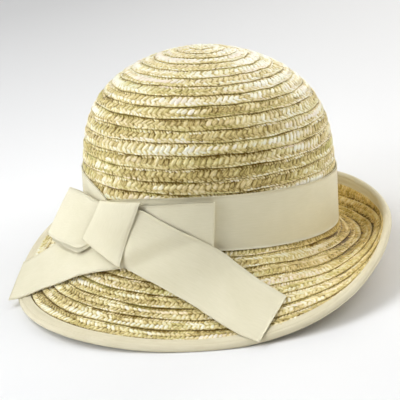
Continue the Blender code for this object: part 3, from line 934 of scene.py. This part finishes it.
def smoothed(rows, steps):
    """A smooth curve through rows of points."""
    ends = np.concatenate([2 * rows[:1] - rows[1:2], rows, 2 * rows[-1:] - rows[-2:-1]])
    places = np.linspace(0, len(rows) - 1, (len(rows) - 1) * steps + 1)
    row = np.minimum(places.astype(int), len(rows) - 2)
    t = (places - row).reshape(-1, *[1] * (rows.ndim - 1))
    before, a, b, after = (ends[row + k] for k in range(4))
    curve = a + 0.5 * t * (b - before)
    curve = curve + 0.5 * t**2 * (2 * before - 5 * a + 4 * b - after)
    return curve + 0.5 * t**3 * (3 * a - before - 3 * b + after)


def ribbon_edges(table, place, steps):
    """The smooth curves through a table's first three columns and through its next three."""
    rows = np.array(table)
    for turn, up, out in (rows[:, :3].T, rows[:, 3:6].T):
        yield smoothed(place(np.radians(turn), up * RIBBON_WIDTH, out * RIBBON_WIDTH), steps)


def ribbon_sheet(table, place):
    """A ruled sheet between a ribbon's top and low edges."""
    top, low = ribbon_edges(table, place, EDGE_STEPS)
    share = np.linspace(0.0, 1.0, ACROSS)[None, :, None]
    return low[:, None] * (1 - share) + top[:, None] * share


def outward_normals(sheet):
    """Unit normals that point away from the crown."""
    normal = grid_normals(sheet, False)
    sign = np.sign((normal * sheet * [1, 1, 0]).sum(axis=-1).mean())
    return normal * sign


def band_top(turn):
    """The height of the band's upper edge over the headline. The knot gathers it down."""
    degrees = signed_degrees(turn)
    reach = np.where(degrees < 0, DIP_REACH_LEFT, DIP_REACH_RIGHT)
    return RIBBON_WIDTH - BAND_DIP * np.exp(-np.abs(degrees) / reach)


def make_band():
    """The ribbon round the crown, gathered near the knot."""
    turn = all_round(ROUND_STEPS)[:, None]
    share = np.linspace(0.0, 1.0, BAND_ACROSS)[None, :]
    height = headline(turn) + BAND_FOOT + (band_top(turn) - BAND_FOOT) * share
    degrees = signed_degrees(turn)
    near = np.exp(-((degrees - GATHER_AT) / GATHER_REACH) ** 2)
    gathers = 0.35 * near * np.sin(share * 16.0 + degrees * 0.05)
    out = BAND_OUT + gathers + 0.12 * np.sin(3 * turn + 1.0) + 0.25 * (2 * share - 1) ** 4
    sheet = beside_crown(turn, height, out)
    return ribbon_piece("hat_band_ribbon", sheet, RIBBON, RIBBON_THICK, close_rows=True, flip=True)


def make_binding():
    """A ribbon folded over the rim."""
    turn = all_round(ROUND_STEPS)[:, None]
    back, out = np.array(BINDING_LEGS).T
    out = out + 0.06 * np.sin(turn * 41.0) * np.sin(turn * 17.0 + 1.0)
    sheet = on_brim(turn + 0 * back, rim(turn) - back, out)
    return ribbon_piece(
        "rim_binding_ribbon", sheet, BINDING, BINDING_THICK, close_rows=True, flip=True
    )


def make_tail(name, table, arch, folds):
    """A flat end of the ribbon with its folds, and arched across by arch millimetres."""
    sheet = ribbon_sheet(table, over_hat)
    rows, columns = sheet.shape[:2]
    along = np.linspace(0, 1, rows)[:, None]
    across = np.linspace(0, 1, columns)[None, :]
    wave = np.zeros((rows, columns))
    for size, at, wide, tilt in folds:
        wave += size * np.exp(-(((along - at + tilt * (across - 0.5)) / wide) ** 2))
    wave += arch * np.sin(math.pi * across) * np.clip(1.2 - along, 0, 1)
    sheet = sheet + outward_normals(sheet) * wave[..., None]
    return ribbon_piece(name, sheet, RIBBON, RIBBON_THICK)


def make_loop(name, table, top_gap, droop):
    """Two plies and the fold between them. top_gap is the top edge's gap as a share of the low
    edge's, and droop is how far the low edge of the ply behind hangs below the one in front."""
    middle = ribbon_sheet(table, level_place)
    gap = smoothed(np.array(table)[:, 6:7] * RIBBON_WIDTH, EDGE_STEPS)[:, :, None]
    up_share = np.linspace(0.0, 1.0, ACROSS)[None, :, None]
    gap = np.maximum(gap * (1 + (top_gap - 1) * up_share**2), NARROWEST_GAP)
    normal = outward_normals(middle)
    along = np.gradient(middle, axis=0)
    along /= np.linalg.norm(along, axis=-1, keepdims=True)
    fold = []
    for angle in np.radians(LOOP_FOLD):
        outward = normal[-1] * math.sin(angle) + along[-1] * math.cos(angle)
        fold.append(middle[-1] + gap[-1] * outward)
    down = middle[:, :1] - middle[:, -1:]
    down /= np.linalg.norm(down, axis=-1, keepdims=True)
    behind = middle - normal * gap + down * droop * (1 - up_share) ** 2
    sheet = np.concatenate([middle + normal * gap, np.array(fold), behind[::-1]])
    return ribbon_piece(name, sheet, RIBBON, RIBBON_THICK)


def make_knot():
    """The ribbon wound round the middle of the bow: over its top, down its front and under."""
    left, right = ribbon_edges(KNOT, level_place, KNOT_STEPS)
    share = np.concatenate([np.linspace(0.0, KNOT_EDGE, 19), [0.985, 1.0]])
    sheet = left[:, None] * (1 - share[None, :, None]) + right[:, None] * share[None, :, None]
    down = np.linspace(0, 1, len(left))[:, None]
    bulge = KNOT_BULGE * np.sin(math.pi * share) + 0.35 * np.sin(7 * share + 2.0 * down)
    bulge = bulge * np.sin(math.pi * np.clip(down * 1.05 + 0.02, 0, 1)) ** 0.5
    bulge -= KNOT_TUCK * np.clip((share - KNOT_EDGE) / (1 - KNOT_EDGE), 0.0, 1.0) ** 2
    outward = sheet * [1, 1, 0]
    outward /= np.linalg.norm(outward, axis=-1, keepdims=True)
    return ribbon_piece("bow_knot_ribbon", sheet + outward * bulge[..., None], RIBBON, KNOT_THICK)


band = make_band()
binding = make_binding()
knot = make_knot()
loop_left = make_loop("bow_loop_left_ribbon", LEFT_LOOP, top_gap=0.35, droop=4.5)
loop_right = make_loop("bow_loop_right_ribbon", RIGHT_LOOP, top_gap=1.0, droop=0.0)
tail_left = make_tail("bow_tail_left_ribbon", LEFT_TAIL, arch=1.1, folds=LEFT_FOLDS)
tail_right = make_tail("bow_tail_right_ribbon", RIGHT_TAIL, arch=0.5, folds=RIGHT_FOLDS)

# piece, node, flat width and length in metres, how it is held, what it rests on
for piece, node, flat, held, rests_on in (
    (band, "hat_band", (0.043, 0.59), "stretched", ["crown_rows"]),
    (binding, "rim_binding", (0.023, 0.95), "folded", ["brim_rows"]),
    (knot, "bow_knot", (0.043, 0.048), "folded", ["bow_loop_left_ribbon"]),
    (loop_left, "bow_loop_left", (0.043, 0.117), "folded", ["hat_band_ribbon"]),
    (loop_right, "bow_loop_right", (0.043, 0.109), "folded", ["hat_band_ribbon"]),
    (tail_left, "bow_tail_left", (0.043, 0.086), "laid", ["brim_rows"]),
    (tail_right, "bow_tail_right", (0.043, 0.135), "laid", ["brim_rows"]),
):
    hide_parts(node)


# Floor, light and camera

# The photo's camera, from the hat upright: turn and elevation in degrees, and millimetres
CAMERA_TURN, CAMERA_ELEVATION, CAMERA_FAR = 47, 16, 1200.0
SHIFT_RIGHT, SHIFT_UP = -10.3, 12.8
PIXELS_PER_MM = 1.313  # at the headline's centre
PHOTO_SIDE = 400  # pixels
SENSOR = 36.0

WHITE, COOL, WARM = (1.0, 1.0, 1.0), (0.95, 0.97, 1.0), (1.0, 0.985, 0.95)
# What the lights shine at, in metres. Each has a name, its direction along the camera's right,
# up and back, its distance, size in metres, strength in watts and colour.
LIT_AT = Vector((0.0, 0.0, 0.08))
LIGHTS = (
    ("overhead", -0.10, 1.00, 0.00, 3.0, 4.0, 18.0, WHITE),
    ("left_low", -0.80, 0.12, 0.60, 1.4, 0.8, 8.8, COOL),
    ("front_left", -0.60, 0.70, 0.40, 1.4, 0.8, 8.8, COOL),
    ("front_right", 0.60, 0.70, 0.40, 1.4, 0.8, 5.6, WARM),
    ("right_side", 0.95, 0.30, 0.10, 1.4, 0.8, 4.6, WARM),
    ("back_left", -0.80, 0.35, -0.50, 1.4, 0.8, 2.6, COOL),
    ("back_right", 0.40, 0.70, -0.60, 1.4, 0.8, 6.4, WARM),
)
WORLD_STRENGTH = 0.12
FLOOR_SPAN = 12.0


def world_direction(direction):
    """A direction from the upright hat, as it points in the scene."""
    return Vector(to_world(np.array([direction]) * 1000.0)[0] - to_world(np.zeros((1, 3)))[0])


def add_camera():
    """The camera, and the directions right, up and toward it."""
    turn, elevation = math.radians(CAMERA_TURN), math.radians(CAMERA_ELEVATION)
    level = math.cos(elevation)
    back = np.array([math.sin(turn) * level, -math.cos(turn) * level, math.sin(elevation)])
    right = np.array([math.cos(turn), math.sin(turn), 0.0])
    up = np.cross(back, right)
    camera = bpy.data.cameras.new("camera")
    camera.sensor_width = SENSOR
    camera.lens = PIXELS_PER_MM * CAMERA_FAR / PHOTO_SIDE * SENSOR
    camera.clip_start, camera.clip_end = 0.05, 20.0
    seen = bpy.data.objects.new("camera", camera)
    place = back * CAMERA_FAR + right * SHIFT_RIGHT + up * SHIFT_UP
    axes = [world_direction(right), world_direction(up), world_direction(back)]
    turned = Matrix(axes).transposed().to_4x4()
    seen.matrix_world = Matrix.Translation(Vector(to_world(place[None])[0])) @ turned
    bpy.context.scene.collection.objects.link(seen)
    bpy.context.scene.camera = seen
    return axes


def add_light(axes, name, right, up, back, distance, size, energy, colour):
    """A round lamp that shines at the hat from a direction given along the camera's axes."""
    light = bpy.data.lights.new(name, "AREA")
    light.shape = "DISK"
    light.size = size
    light.energy = energy
    light.color = colour
    lamp = bpy.data.objects.new(name, light)
    way = (axes[0] * right + axes[1] * up + axes[2] * back).normalized()
    lamp.location = LIT_AT + way * distance
    lamp.rotation_mode = "QUATERNION"
    lamp.rotation_quaternion = way.to_track_quat("Z", "Y")
    bpy.context.scene.collection.objects.link(lamp)


def floor_material():
    """A pale floor, greyer away from the hat as painted shade. Far from the hat it has a painted
    glow, as a studio's lit backdrop does.
    """
    n = Nodes("floor")
    place = n.add("ShaderNodeNewGeometry").outputs["Position"]
    far = n.add("ShaderNodeVectorMath", {"operation": "LENGTH"}, i0=place).outputs["Value"]
    level = n.math("MULTIPLY_ADD", n.noise(Vector=place, Scale=2.0), 0.05, far)
    return n.finish(
        # painted shade: greyer with distance from the hat; further out a painted glow
        Base_Color=n.ramp(level, ((0.3, (0.88, 0.88, 0.88)), (0.9, (0.66, 0.66, 0.66)))),
        Roughness=0.9,
        Emission_Color=(1.0, 1.0, 1.0, 1.0),
        Emission_Strength=n.clamp(n.math("MULTIPLY_ADD", far, 0.5, -0.6), 0.0, 0.6),
    )


def add_floor():
    """A wide square under the hat."""
    mesh = bpy.data.meshes.new("floor")
    corners = [(x * FLOOR_SPAN, y * FLOOR_SPAN, 0) for x, y in ((-1, -1), (1, -1), (1, 1), (-1, 1))]
    mesh.from_pydata(corners, [], [(0, 1, 2, 3)])
    mesh.materials.append(floor_material())
    plane = bpy.data.objects.new("floor", mesh)
    bpy.context.scene.collection.objects.link(plane)
    return plane


camera_axes = add_camera()
for row in LIGHTS:
    add_light(camera_axes, *row)

world = bpy.data.worlds.new("studio")
world.use_nodes = True
background = world.node_tree.nodes["Background"]
background.inputs["Color"].default_value = (1.0, 1.0, 1.0, 1.0)
background.inputs["Strength"].default_value = WORLD_STRENGTH
bpy.context.scene.world = world
bpy.context.scene.view_settings.view_transform = "Standard"
bpy.context.scene.view_settings.look = "None"

floor = add_floor()
